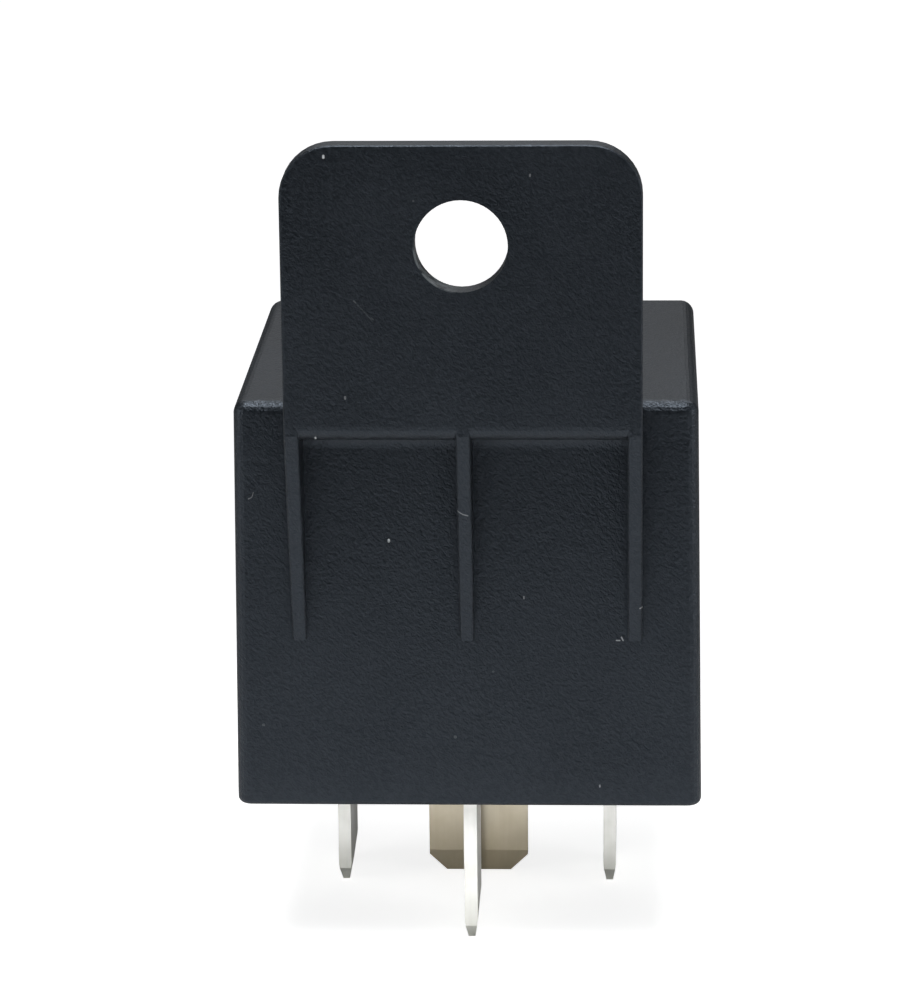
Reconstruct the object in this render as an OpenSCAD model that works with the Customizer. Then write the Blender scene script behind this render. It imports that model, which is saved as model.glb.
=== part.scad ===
// Plug-in automotive relay with a break contact and a moulded mounting tab.
// The cover, base plate and pins are seen from outside. The magnet, hinge
// and contacts inside follow the usual build of this kind of relay.

/* [Cover] */
// Width of the cover at its open rim
cover_w = 28; // [27:0.5:34]
// Depth of the cover at its open rim
cover_d = 28; // [27:0.5:34]
// Height of the cover from rim to top
cover_h = 25.1; // [23:0.1:32]
// Wall thickness of the cover
wall = 1.3; // [1:0.1:1.6]
// How far each side leans in from rim to top, so the moulding leaves its tool
draft = 0.25; // [0:0.05:0.4]
// Radius of the cover's outer corners and top edges
edge_r = 0.85; // [0.4:0.05:1.2]
// Radius along the cover's open rim
rim_r = 0.4; // [0.1:0.05:0.6]
// Radius inside the cover's corners
inner_r = 0.3; // [0.1:0.05:0.6]

/* [Mounting tab] */
// Width of the tab
tab_w = 20.9; // [16:0.1:24]
// Height of the tab above the cover's top
tab_rise = 16; // [14:0.5:22]
// Thickness of the tab and of the shelf that carries it
tab_t = 1.6; // [1.2:0.1:2.4]
// Space between the tab's back and the cover's front
tab_gap = 1.6; // [1:0.1:4]
// Radius of the tab's two upper corners
tab_corner_r = 3.1; // [1:0.1:5]
// Diameter of the fixing hole
hole_d = 5.4; // [4:0.1:6.5]
// Height of the hole's centre above the cover's top
hole_rise = 10.1; // [8:0.1:11]
// Radius under the tab's lower front edge
nose_r = 1; // [0.4:0.1:1.2]
// Radius between the shelf's underside and the cover's front
root_r = 1.2; // [0.4:0.1:2]
// Height above the shelf's underside at which the ribs start to slope
rib_crown = 0.4; // [0.2:0.05:0.8]
// Thickness of each gusset rib
rib_t = 0.87; // [0.6:0.05:1.5]
// Number of gusset ribs
rib_count = 3; // [2:1:3]
// Length of the ribs below the shelf
rib_drop = 13; // [6:0.1:16]
// How far a rib's lower end still stands proud of the cover
rib_end = 0.15; // [0.1:0.05:0.5]
// Fine radius on the edges of the tab and ribs
fine_r = 0.18; // [0.1:0.02:0.3]

/* [Pins] */
// Width of each blade pin
blade_w = 6.3; // [5.9:0.1:6.5]
// Thickness of each blade pin
blade_t = 0.8; // [0.6:0.05:1]
// Length of the blades below the cover's rim
blade_out = 9.5; // [8:0.1:13]
// Size of the cuts at a blade's tip corners
tip_cut = 1.1; // [0.5:0.1:1.6]
// Height of the lead-in bevels at a blade's tip
bevel_h = 1.4; // [0.4:0.1:1.8]
// Thickness of a blade at the end of its bevels
bevel_t = 0.42; // [0.3:0.02:0.5]
// Distance between the two coil pins
coil_pitch = 16.8; // [16.4:0.1:18]
// Space from the supply pin's outer edge to the cover's wall
pin_margin = 0.55; // [0.4:0.05:1]
// Distance from the supply pin back to the coil pins
coil_pin_back = 9.9; // [9:0.1:11]
// Distance from the supply pin back to the contact pin
contact_pin_back = 9.8; // [9:0.1:11]
// Width of the wire tags on top of the coil pins
tag_w = 3.4; // [2.4:0.1:4]
// Height of the wire tags above the base plate
tag_h = 4.4; // [3.8:0.1:5]

/* [Base plate] */
// Thickness of the base plate
base_t = 2.6; // [2.2:0.1:3.2]
// How far the base plate sits inside the cover's rim
base_recess = 0.4; // [0.2:0.1:0.8]
// Space between the base plate and the cover's walls
base_fit = 0.1; // [0.05:0.05:0.2]
// Space round each pin in its slot
slot_fit = 0.05; // [0.02:0.01:0.1]
// Width of the snap catches
catch_w = 3; // [2:0.5:4]
// How far the snap catches stand out
catch_out = 0.35; // [0.2:0.05:0.5]
// Height of the snap catches
catch_h = 0.9; // [0.6:0.1:1.2]

/* [Magnet] */
// Thickness of the yoke
yoke_t = 1.6; // [1.2:0.1:2]
// Width of the yoke
yoke_w = 12; // [10:0.5:13]
// Space between the yoke's outer face and the cover's wall
leg_gap = 1.3; // [1.1:0.1:1.6]
// Diameter of the iron core
core_d = 6; // [4:0.1:6.5]
// Diameter of the core's foot, which is riveted into the yoke
core_foot_d = 3.6; // [2.5:0.1:4]
// Diameter of the pole face
pole_d = 8.5; // [7:0.1:9.5]
// Thickness of the pole face
pole_t = 1; // [0.8:0.1:1.5]
// Space between the coil's flange and the yoke
coil_gap = 1.5; // [1.2:0.1:2]
// Space between the coil's flange and each coil pin
flange_gap = 0.5; // [0.4:0.05:0.8]
// Thickness of the bobbin's two flanges
flange_t = 0.9; // [0.7:0.1:1.2]
// Wall of the bobbin's barrel
barrel_t = 0.65; // [0.5:0.05:1]
// How far the flanges stand out over the winding
flange_lip = 0.5; // [0.3:0.1:1]
// Diameter of the coil wire's two ends
wire_d = 0.36; // [0.2:0.02:0.45]

/* [Armature] */
// Thickness of the armature
armature_t = 1.5; // [1.2:0.1:1.8]
// Angle at which the armature stands open
open_angle = 4; // [2.5:0.1:4.5]
// How far the armature reaches past the pole face
armature_over = 1.2; // [0.8:0.1:2]
// Setback of the hinge line from the yoke's outer face
hinge_back = 0.4; // [0.35:0.05:0.6]
// Thickness of the leaf spring
leaf_t = 0.3; // [0.2:0.05:0.3]
// Width of the leaf spring
leaf_w = 7; // [6:0.5:8]
// Length of the leaf spring down the yoke
leaf_drop = 8.2; // [7:0.1:9]
// Inner radius of the leaf spring's bend
leaf_bend_r = 0.22; // [0.15:0.01:0.24]
// Diameter of the rivet shanks
rivet_d = 1.6; // [1.2:0.1:2]
// Height of the rivet heads
rivet_h = 0.5; // [0.4:0.05:0.6]
// Distance between the two rivets of a pair
rivet_pitch = 4; // [3.6:0.1:4.4]

/* [Contacts] */
// Diameter of the contact buttons
button_d = 3.2; // [2.6:0.1:3.4]
// Height of the moving contact's button
button_h = 0.6; // [0.4:0.05:0.8]
// Height of the fixed contact's button
fixed_h = 0.5; // [0.4:0.05:0.8]
// Space left between the two buttons at rest
touch = 0.02; // [0.01:0.01:0.05]
// Width of the contact pin's arm
arm_w = 5; // [4:0.1:6]
// Space between the arm's back and the cover's wall
arm_gap = 0.9; // [0.7:0.05:1.1]
// Space between the arm's top and the cover's roof
roof_gap = 0.9; // [0.6:0.05:1.2]
// Distance from the arm's front face to the contact buttons
button_back = 2.6; // [2.4:0.1:3]

/* [Resistor and braid] */
// Diameter of the suppression resistor
resistor_d = 2.3; // [1.8:0.1:2.6]
// Length of the suppression resistor's body
resistor_l = 6.4; // [5:0.1:7]
// Diameter of the resistor's wires
resistor_wire_d = 0.6; // [0.4:0.05:0.7]
// Diameter of the copper braid
braid_d = 1.3; // [1:0.1:1.5]

/* [Hidden] */

// Facets round the parts that are drilled, turned or wound
fine = 64;
// Facets round small edge radii
coarse = 24;
// Overlap that keeps a cut clear of the face it starts from
eps = 0.05;
// Thickness of the thin slices that a blend runs through
slice_t = 0.01;

// Cover: half sizes of the room inside at the rim, and the roof's underside
room_x = cover_w / 2 - wall;
room_y = cover_d / 2 - wall;
roof_z = cover_h - wall;
front_y = -cover_d / 2;

// Mounting tab
tab_stand = tab_gap + tab_t;
tab_face_y = front_y - tab_stand;
tab_top_z = cover_h + tab_rise;
shelf_z = cover_h - tab_t;
hole_z = cover_h + hole_rise;
rib_low_z = shelf_z - rib_drop;

// The whole relay stands on its blade tips, centred over its outline
mid_y = tab_stand / 2;

// Base plate; the contact pin's foot lies sunk in a channel under the yoke
base_top = base_recess + base_t;
foot_sunk = 0.2;
channel_z = base_top - blade_t - foot_sunk;
foot_z = base_top + blade_t;
rest_gap = 0.4;

// Pins, from the middle of the cover
supply_y = -(room_y - pin_margin - blade_w / 2);
coil_pin_y = supply_y + coil_pin_back;
contact_pin_y = supply_y + contact_pin_back;
tag_top = base_top + tag_h;
shoulder_h = 0.6;
shoulder_out = 0.5;
flag_l = 4.6;
bend_r = 0.8;
collar_w = 0.6;
neck_cut = 0.5;
wrap_z = tag_top - 1.2;
wrap_h = 3.4 * wire_d;
arm_tip = 0.4;

// Magnet
leg_out_y = -(room_y - leg_gap);
leg_in_y = leg_out_y + yoke_t;
flange_d = coil_pitch - blade_t - 2 * flange_gap;
coil_y = leg_in_y + coil_gap + flange_d / 2;
foot_end_y = coil_y + pole_d / 2;
bobbin_z = foot_z + yoke_t;

// Hinge and contacts: the arm under the roof sets the buttons, and they set the hinge
hinge_y = leg_out_y + hinge_back;
arm_out_y = room_y - arm_gap;
arm_in_y = arm_out_y - blade_t;
arm_top_z = roof_z - roof_gap;
fixed_face_z = arm_top_z - blade_t - fixed_h;
button_y = arm_in_y - button_back;
button_top = armature_t + leaf_t + button_h;
button_reach = (button_y - hinge_y + button_top * sin(open_angle)) / cos(open_angle);
dome_r = 6;
dome_rise = dome_r * (1 - cos(open_angle));
hinge_z = fixed_face_z - touch - dome_rise - button_reach * sin(open_angle) - button_top * cos(open_angle);
armature_l = foot_end_y + armature_over - hinge_y;
leaf_rim = 0.1;
leaf_end = button_d / 2 + leaf_rim;
leaf_mid = armature_t + leaf_t / 2;

// Rivets: where each pair sits, and how far their heads reach past the shanks
armature_rivet_y = 5.2;
yoke_rivet_drop = 5.6;
yoke_rivet_z = hinge_z - yoke_rivet_drop;
rivet_rim = 0.6;
seat = 0.02;

// Coil
pole_z = hinge_z - pole_t;
flange_gap_z = 0.2;
flange_top_z = pole_z - flange_gap_z;
winding_z = bobbin_z + flange_t;
winding_h = flange_top_z - flange_t - winding_z;
winding_d = flange_d - 2 * flange_lip;
core_fit = 0.05;
barrel_d = core_d + 2 * core_fit + 2 * barrel_t;

// Resistor: its space to the contact pin, and the bend of its wires
resistor_gap = 0.6;
lead_bend = 1;

// Braid: its weld's distance from the contact button and from the leaf's edge,
// how far its loop stands out beyond the yoke, and how far down the yoke it ends
braid_back = 3.2;
braid_in = 1;
braid_out = 3;
braid_down = 8;

// ---------- helpers ----------

// Moves a piece from the cover's own frame to the standing relay's frame
module placed() {
    translate([0, mid_y, blade_out])
        children();
}

// Carries a piece drawn flat on the hinge line to where the open armature holds it
module swung() {
    translate([0, hinge_y, hinge_z])
        rotate([open_angle, 0, 0])
            children();
}

// Extrudes a side view, drawn as depth and height, evenly to both sides
module across(width) {
    rotate([90, 0, 90])
        linear_extrude(height = width, center = true)
            children();
}

// A flat convex shape given thickness, with its two outer edges finely rounded
module soft_plate(thickness, r) {
    hull()
        for (a = [0, 30, 60, 90])
            linear_extrude(height = thickness - 2 * r * (1 - sin(a)), center = true)
                offset(delta = -r * (1 - cos(a)))
                    children();
}

// Direction of one leg of a path, and the direction that halves the corner before it
function leg(path, i) = (path[i + 1] - path[i]) / norm(path[i + 1] - path[i]);
function side(path, i) =
    let (d = leg(path, max(i - 1, 0)) + leg(path, min(i, len(path) - 2)))
    [-d[1], d[0]] / norm(d);
// How much further a mitred corner lies from the path than its straight runs
function miter(path, i) =
    let (d = leg(path, max(i - 1, 0)))
    1 / (side(path, i) * [-d[1], d[0]]);
// Outline of a strip of metal that follows a path
function strip(path, t) = concat(
    [for (i = [0 : len(path) - 1]) path[i] + side(path, i) * miter(path, i) * t / 2],
    [for (i = [len(path) - 1 : -1 : 0]) path[i] - side(path, i) * miter(path, i) * t / 2]);
// Points of a bend about a centre
function bend(centre, r, from, to, steps = 6) =
    [for (i = [0 : steps]) let (a = from + (to - from) * i / steps)
        centre + r * [cos(a), sin(a)]];

// A strip of metal folded along a path of depth and height
module folded(path, t, width) {
    across(width)
        polygon(strip(path, t));
}

// A blade with cut tip corners and thin lead-in bevels, from its tip up to a height
module blade(top) {
    intersection() {
        rotate([90, 0, 90])
            linear_extrude(height = blade_t, center = true)
                polygon([[-blade_w / 2, top], [-blade_w / 2, -blade_out + tip_cut],
                         [-blade_w / 2 + tip_cut, -blade_out], [blade_w / 2 - tip_cut, -blade_out],
                         [blade_w / 2, -blade_out + tip_cut], [blade_w / 2, top]]);
        rotate([90, 0, 0])
            linear_extrude(height = blade_w + 1, center = true)
                polygon([[-blade_t / 2, top], [-blade_t / 2, -blade_out + bevel_h],
                         [-bevel_t / 2, -blade_out], [bevel_t / 2, -blade_out],
                         [blade_t / 2, -blade_out + bevel_h], [blade_t / 2, top]]);
    }
}

// Smooth curve through points: two more points between each pair
function eased(p) = concat([for (i = [0 : len(p) - 2], k = [0 : 2])
    let (a = p[max(i - 1, 0)], b = p[i], c = p[i + 1], d = p[min(i + 2, len(p) - 1)], t = k / 3)
    0.5 * (2 * b + (c - a) * t + (2 * a - 5 * b + 4 * c - d) * t * t + (3 * b - 3 * c + d - a) * t * t * t)],
    [p[len(p) - 1]]);

// A round tube through points, as one closed skin
module tube(path, d) {
    sides = 8;
    last = len(path) - 1;
    function aim(i) = let (v = path[min(i + 1, last)] - path[max(i - 1, 0)]) v / norm(v);
    // a direction square to the path that turns no more than the path itself does
    function square_to(i) =
        let (v = aim(i), before = i == 0 ? [0.1, 0.2, 1] : square_to(i - 1), u = before - (before * v) * v)
        u / norm(u);
    rings = [for (i = [0 : last]) let (u = square_to(i), w = cross(aim(i), u))
        for (k = [0 : sides - 1]) path[i] + d / 2 * (cos(360 * k / sides) * u + sin(360 * k / sides) * w)];
    walls = [for (i = [0 : last - 1], k = [0 : sides - 1]) let (n = (k + 1) % sides)
        [i * sides + k, i * sides + n, (i + 1) * sides + n, (i + 1) * sides + k]];
    polyhedron(points = rings,
               faces = concat(walls, [[for (k = [sides - 1 : -1 : 0]) k]],
                              [[for (k = [0 : sides - 1]) last * sides + k]]));
}

// ---------- cover ----------

// Half width or half depth of the cover's outside at a height, and where its front face is there
function half_at(size, z) = size / 2 - draft * z / cover_h;
function face_y(z) = -half_at(cover_d, z);

// One upright corner of a rounded block, narrower at the top
module corner(inset, r, r_low, low, high, sx, sy) {
    in = inset + r;
    translate([sx * (half_at(cover_w, high) - in), sy * (half_at(cover_d, high) - in), high - r])
        sphere(r = r, $fn = coarse);
    translate([sx * (half_at(cover_w, low) - in), sy * (half_at(cover_d, low) - in), low])
        rotate_extrude($fn = coarse)
            intersection() {
                square([r, r]);
                union() {
                    translate([r - r_low, r_low])
                        circle(r = r_low, $fn = coarse);
                    translate([0, r_low])
                        square([r, r]);
                    square([r - r_low, r]);
                }
            }
}

// A block with rounded upright and top edges that leans in by the draft
module leaning_block(inset, r, r_low, low, high) {
    hull()
        for (sx = [-1, 1], sy = [-1, 1])
            corner(inset, r, r_low, low, high, sx, sy);
}

// How far a radius draws an outline in, at a distance from the face that it rounds
function drawn_in(r, from_face) =
    from_face < r ? r - sqrt(r * r - (r - from_face) * (r - from_face)) : 0;

// One slice of the tab, with its sides and top drawn in and its foot drawn up
module tab_slice(inset, foot) {
    for (s = [-1, 1])
        translate([s * (tab_w / 2 - tab_corner_r), tab_top_z - tab_corner_r])
            circle(r = tab_corner_r - inset, $fn = 40);
    translate([-tab_w / 2 + inset, shelf_z + foot])
        square([tab_w - 2 * inset, tab_t]);
}

// The tab with fine edges and its rounded foot, blended through slices from front to back
module tab_plate() {
    nose = [for (a = [0 : 15 : 90]) nose_r * (1 - cos(a))];
    edge = [for (a = [30, 60, 90]) fine_r * (1 - cos(a))];
    hull()
        for (y = concat(nose, edge, [for (e = edge) tab_t - e], [tab_t - slice_t]))
            translate([0, tab_face_y + y, 0])
                rotate([90, 0, 0])
                    mirror([0, 0, 1])
                        linear_extrude(height = slice_t)
                            tab_slice(drawn_in(fine_r, min(y, tab_t - y)), drawn_in(nose_r, y));
}

// The shelf from the tab to the cover, with the inside radii under it and behind the tab
module shelf() {
    root_z = shelf_z - root_r;
    root_y = face_y(root_z) - root_r;
    back_y = tab_face_y + tab_t;
    across(tab_w - 2 * fine_r)
        difference() {
            union() {
                translate([tab_face_y + nose_r, shelf_z])
                    square([tab_stand - nose_r + wall / 2, tab_t]);
                translate([root_y, root_z])
                    square([root_r + wall / 2, root_r + eps]);
                translate([back_y - eps, cover_h - eps])
                    square([tab_gap / 2 + eps, tab_gap / 2 + eps]);
            }
            translate([root_y, root_z])
                circle(r = root_r, $fn = fine);
            translate([back_y + tab_gap / 2, cover_h + tab_gap / 2])
                circle(r = tab_gap / 2, $fn = fine);
        }
}

// Side view of one gusset rib, from the tab's foot down to where it meets the cover
module rib_outline() {
    in_y = face_y(rib_low_z) + wall / 2;
    polygon([[tab_face_y, shelf_z + nose_r], [tab_face_y, shelf_z + rib_crown],
             [face_y(rib_low_z) - rib_end, rib_low_z], [in_y, rib_low_z], [in_y, shelf_z + nose_r]]);
}

module tab() {
    tab_plate();
    shelf();
    for (i = [0 : rib_count - 1])
        translate([(tab_w - rib_t) * (i / (rib_count - 1) - 0.5), 0, 0])
            rotate([90, 0, 90])
                soft_plate(rib_t, fine_r)
                    rib_outline();
}

// Where the four snap catches sit, on the cover's two sides
module at_catches() {
    for (sx = [-1, 1], sy = [-1, 1])
        translate([sx * (room_x - base_fit), sy * cover_d / 4, base_recess + base_t / 2])
            mirror([sx < 0 ? 1 : 0, 0, 0])
                children();
}

// Ribs inside the cover that stop the base plate
module stop_ribs() {
    stop_t = 1;
    stop_out = 0.8;
    top = roof_z + wall / 2;
    for (sx = [-1, 1], sy = [-1, 1])
        translate([sx * (room_x + (wall / 2 - stop_out) / 2), sy * cover_d / 3, (base_top + top) / 2])
            cube([wall / 2 + stop_out, stop_t, top - base_top], center = true);
}

module cover() {
    color("#26282c")
        placed()
            difference() {
                union() {
                    difference() {
                        leaning_block(0, edge_r, rim_r, 0, cover_h);
                        leaning_block(wall, inner_r, 0.01, -0.5, roof_z);
                    }
                    stop_ribs();
                    tab();
                }
                translate([0, tab_face_y - eps, hole_z])
                    rotate([-90, 0, 0])
                        cylinder(h = tab_t + 2 * eps, d = hole_d, $fn = fine);
                at_catches()
                    translate([-eps, -(catch_w + base_fit) / 2, -(catch_h + base_fit) / 2])
                        cube([catch_out + base_fit + eps, catch_w + base_fit, catch_h + base_fit]);
            }
}

// ---------- base plate ----------

// A slot for a blade, or a block as wide as a blade with a margin round it
module round_pin(x, y, turned, margin, low, high) {
    size = [blade_t + 2 * margin, blade_w + 2 * margin, high - low];
    translate([x, y, (low + high) / 2])
        cube(turned ? [size[1], size[0], size[2]] : size, center = true);
}

module round_pins(margin, low, high) {
    round_pin(0, supply_y, false, margin, low, high);
    for (s = [-1, 1])
        round_pin(s * coil_pitch / 2, coil_pin_y, false, margin, low, high);
    round_pin(0, contact_pin_y, true, margin, low, high);
}

module base_plate() {
    half_x = room_x - base_fit;
    half_y = room_y - base_fit;
    rest_in = arm_w / 2 + rest_gap;
    rest_front = supply_y + blade_w / 2 + rest_gap;
    color("#34363a")
        placed()
            difference() {
                union() {
                    translate([0, 0, base_recess])
                        linear_extrude(height = base_t) {
                            square([2 * half_x, 2 * (half_y - inner_r)], center = true);
                            square([2 * (half_x - inner_r), 2 * half_y], center = true);
                            for (sx = [-1, 1], sy = [-1, 1])
                                translate([sx * (half_x - inner_r), sy * (half_y - inner_r)])
                                    circle(r = inner_r, $fn = coarse);
                        }
                    // rests under the yoke, one on each side of the contact pin's foot
                    for (s = [-1, 1])
                        translate([s * (rest_in + yoke_w / 2) / 2, (rest_front + foot_end_y) / 2, base_top])
                            cube([yoke_w / 2 - rest_in, foot_end_y - rest_front, 2 * blade_t],
                                 center = true);
                    round_pins(collar_w, base_recess / 4, base_recess + eps);
                    at_catches()
                        rotate([90, 0, 0])
                            linear_extrude(height = catch_w, center = true)
                                polygon([[-eps, -catch_h / 2], [catch_out, -catch_h / 6],
                                         [catch_out, catch_h / 2], [-eps, catch_h / 2]]);
                }
                round_pins(slot_fit, -1, base_top + 1);
                // channel for the contact pin's foot, and room for the two folded bends
                translate([-arm_w / 2 - base_fit, contact_pin_y, channel_z])
                    cube([arm_w + 2 * base_fit, arm_out_y + base_fit - contact_pin_y, base_t]);
                translate([-blade_w / 2 - slot_fit, contact_pin_y, channel_z - bend_r])
                    cube([blade_w + 2 * slot_fit, blade_t / 2 + bend_r, base_t]);
                translate([0, supply_y - blade_w / 2 - slot_fit, base_top - bend_r])
                    cube([blade_t / 2 + bend_r, blade_w + 2 * slot_fit, bend_r + eps]);
            }
}

// ---------- pins ----------

// The supply pin, folded over on the base plate to carry the yoke
module terminal_30() {
    flag_z = base_top + blade_t / 2;
    color("#c9c7c0")
        placed()
            translate([0, supply_y, 0]) {
                blade(base_recess);
                rotate([90, 0, 0])
                    linear_extrude(height = blade_w, center = true)
                        polygon(strip(concat([[0, 0]],
                                             bend([bend_r, flag_z - bend_r], bend_r, 180, 90),
                                             [[flag_l, flag_z]]), blade_t));
            }
}

// A coil pin with stop shoulders and a notched tag for the coil's wire
module coil_pin(s) {
    color("#c9c7c0")
        placed()
            translate([s * coil_pitch / 2, coil_pin_y, 0])
                difference() {
                    union() {
                        blade(base_top + eps);
                        translate([0, 0, base_top + shoulder_h / 2])
                            cube([blade_t, blade_w + 2 * shoulder_out, shoulder_h], center = true);
                        translate([0, 0, (base_top + tag_top) / 2])
                            cube([blade_t, tag_w, tag_top - base_top], center = true);
                    }
                    for (edge = [-1, 1])
                        translate([0, edge * tag_w / 2, wrap_z + wrap_h / 2 - wire_d / 2])
                            cube([blade_t + 1, 2 * neck_cut, wrap_h], center = true);
                }
}

module terminal_85() {
    coil_pin(-1);
}

module terminal_86() {
    coil_pin(1);
}

// The contact pin: one strip from the blade under the coil, up the back and over the contacts
module terminal_87a() {
    foot = channel_z + blade_t / 2;
    rise = arm_out_y - blade_t / 2;
    top = arm_top_z - blade_t / 2;
    color("#c9c7c0")
        placed()
            difference() {
                union() {
                    translate([0, contact_pin_y, 0])
                        rotate([0, 0, 90])
                            blade(foot - bend_r);
                    folded(concat([[contact_pin_y, foot - bend_r - eps]],
                                  bend([contact_pin_y + bend_r, foot - bend_r], bend_r, 180, 90),
                                  bend([rise - bend_r, foot + bend_r], bend_r, -90, 0),
                                  bend([rise - bend_r, top - bend_r], bend_r, 0, 90),
                                  [[button_y - button_d / 2 - arm_tip, top]]), blade_t, arm_w);
                }
                translate([0, button_y, top])
                    cylinder(h = 2 * blade_t, d = rivet_d + 2 * seat, center = true, $fn = fine);
            }
}

// ---------- magnet ----------

module yoke() {
    foot = foot_z + yoke_t / 2;
    leg = leg_out_y + yoke_t / 2;
    color("#8f9296")
        placed()
            difference() {
                folded(concat([[foot_end_y, foot]],
                              bend([leg + yoke_t, foot + yoke_t], yoke_t, -90, -180),
                              [[leg, hinge_z]]), yoke_t, yoke_w);
                translate([0, coil_y, foot])
                    cylinder(h = 2 * yoke_t, d = core_foot_d + 2 * seat, center = true, $fn = fine);
                for (s = [-1, 1])
                    translate([s * rivet_pitch / 2, leg, yoke_rivet_z])
                        rotate([90, 0, 0])
                            cylinder(h = 2 * yoke_t, d = rivet_d + 2 * seat, center = true, $fn = fine);
            }
}

module core() {
    color("#a4a7ab")
        placed()
            translate([0, coil_y, 0]) {
                translate([0, 0, foot_z])
                    cylinder(h = yoke_t + eps, d = core_foot_d, $fn = fine);
                translate([0, 0, bobbin_z])
                    cylinder(h = hinge_z - bobbin_z, d = core_d, $fn = fine);
                translate([0, 0, pole_z])
                    cylinder(h = pole_t, d = pole_d, $fn = fine);
            }
}

module bobbin() {
    bore = core_d / 2 + core_fit;
    color("#e6dfcd")
        placed()
            translate([0, coil_y, 0])
                rotate_extrude($fn = fine) {
                    translate([bore, bobbin_z])
                        square([barrel_d / 2 - bore, flange_top_z - bobbin_z]);
                    for (z = [bobbin_z, flange_top_z - flange_t])
                        translate([bore, z])
                            square([flange_d / 2 - bore, flange_t]);
                }
}

module coil_winding() {
    color("#a8522c")
        placed()
            translate([0, coil_y, winding_z + seat])
                rotate_extrude($fn = fine)
                    translate([barrel_d / 2 + seat, 0])
                        square([(winding_d - barrel_d) / 2 - seat, winding_h - 2 * seat]);
}

// A wire end: out of the winding over the flange, then twice round the pin's tag
module coil_lead(s) {
    pin_x = coil_pitch / 2;
    around_x = blade_t / 2 + wire_d / 2;
    around_y = tag_w / 2 - neck_cut + wire_d / 2;
    start_z = winding_z + wire_d;
    rise = wire_d * 1.1 / 4;
    corners = [[-1, 1], [1, 1], [1, -1], [-1, -1]];
    color("#b4622f")
        placed()
            tube(eased(concat([[s * (winding_d / 2 + seat), coil_pin_y, start_z],
                               [s * (pin_x - around_x), coil_pin_y, start_z]],
                              [for (i = [0 : 8]) let (c = corners[i % 4])
                                  [s * (pin_x + c[0] * around_x), coil_pin_y + c[1] * around_y,
                                   wrap_z + i * rise]])), wire_d);
}

module coil_lead_start() {
    coil_lead(-1);
}

module coil_lead_finish() {
    coil_lead(1);
}

// ---------- armature, spring and contacts ----------

// Repeats a piece at the two rivets of the armature, in the armature's own frame
module at_armature_rivets() {
    for (s = [-1, 1])
        translate([s * rivet_pitch / 2, armature_rivet_y, 0])
            children();
}

module armature() {
    end_cut = yoke_w / 6;
    half = yoke_w / 2;
    color("#9a9da1")
        placed()
            swung()
                difference() {
                    linear_extrude(height = armature_t)
                        polygon([[-half, 0], [half, 0], [half, armature_l - end_cut],
                                 [half - end_cut, armature_l], [end_cut - half, armature_l],
                                 [-half, armature_l - end_cut]]);
                    at_armature_rivets()
                        cylinder(h = 3 * armature_t, d = rivet_d + 2 * seat, center = true, $fn = fine);
                }
}

module contact_spring() {
    up_y = leg_out_y - leaf_t / 2;
    r = leaf_bend_r + leaf_t / 2;
    // where the leaf's upright and its arm would cross, measured along the open armature
    cross = (up_y - hinge_y + leaf_mid * sin(open_angle)) / cos(open_angle);
    cross_z = hinge_z + cross * sin(open_angle) + leaf_mid * cos(open_angle);
    bend_z = cross_z - r * tan(45 - open_angle / 2);
    reach = button_reach + leaf_end;
    tip = [hinge_y + reach * cos(open_angle) - leaf_mid * sin(open_angle),
           hinge_z + reach * sin(open_angle) + leaf_mid * cos(open_angle)];
    window = leaf_w / 3;
    color("#c58a4b")
        placed()
            difference() {
                folded(concat([[up_y, hinge_z - leaf_drop]],
                              bend([up_y + r, bend_z], r, 180, 90 + open_angle), [tip]), leaf_t, leaf_w);
                // window that makes the hinge bend soft
                translate([0, up_y, bend_z])
                    cube([window, 3 * r, window], center = true);
                for (s = [-1, 1])
                    translate([s * rivet_pitch / 2, up_y, yoke_rivet_z])
                        rotate([90, 0, 0])
                            cylinder(h = 4 * leaf_t, d = rivet_d + 2 * seat, center = true, $fn = fine);
                swung() {
                    at_armature_rivets()
                        translate([0, 0, leaf_mid])
                            cylinder(h = 4 * leaf_t, d = rivet_d + 2 * seat, center = true, $fn = fine);
                    translate([0, button_reach, leaf_mid])
                        cylinder(h = 4 * leaf_t, d = rivet_d + 2 * seat, center = true, $fn = fine);
                    // cut corners at the free end
                    for (s = [-1, 1])
                        translate([s * leaf_w / 2, reach, leaf_mid])
                            rotate([0, 0, 45])
                                cube([leaf_w / 4, leaf_w / 4, 4 * leaf_t], center = true);
                }
            }
}

// A rivet with a domed head, standing on the plane of its head's underside
module rivet(length) {
    head_d = rivet_d + 2 * rivet_rim;
    head_r = head_d * 0.7;
    translate([0, 0, -length])
        cylinder(h = length + eps, d = rivet_d, $fn = fine);
    intersection() {
        cylinder(h = rivet_h, d = head_d, $fn = fine);
        translate([0, 0, rivet_h - head_r])
            sphere(r = head_r, $fn = fine);
    }
}

module armature_rivets() {
    color("#b9bbbd")
        placed()
            swung()
                at_armature_rivets()
                    translate([0, 0, armature_t + leaf_t])
                        rivet(armature_t + leaf_t);
}

module yoke_rivets() {
    color("#b9bbbd")
        placed()
            for (s = [-1, 1])
                translate([s * rivet_pitch / 2, leg_out_y - leaf_t, yoke_rivet_z])
                    rotate([90, 0, 0])
                        rivet(yoke_t + leaf_t);
}

module moving_contact() {
    tail_h = 0.35;
    tail_rim = 0.3;
    color("#d8d6d0")
        placed()
            swung()
                translate([0, button_reach, 0]) {
                    translate([0, 0, armature_t + leaf_t])
                        intersection() {
                            cylinder(h = button_h, d = button_d, $fn = fine);
                            translate([0, 0, button_h - dome_r])
                                sphere(r = dome_r, $fn = 2 * fine);
                        }
                    translate([0, 0, armature_t])
                        cylinder(h = leaf_t + eps, d = rivet_d, $fn = fine);
                    translate([0, 0, armature_t - tail_h])
                        cylinder(h = tail_h, d = rivet_d + 2 * tail_rim, $fn = fine);
                }
}

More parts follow.
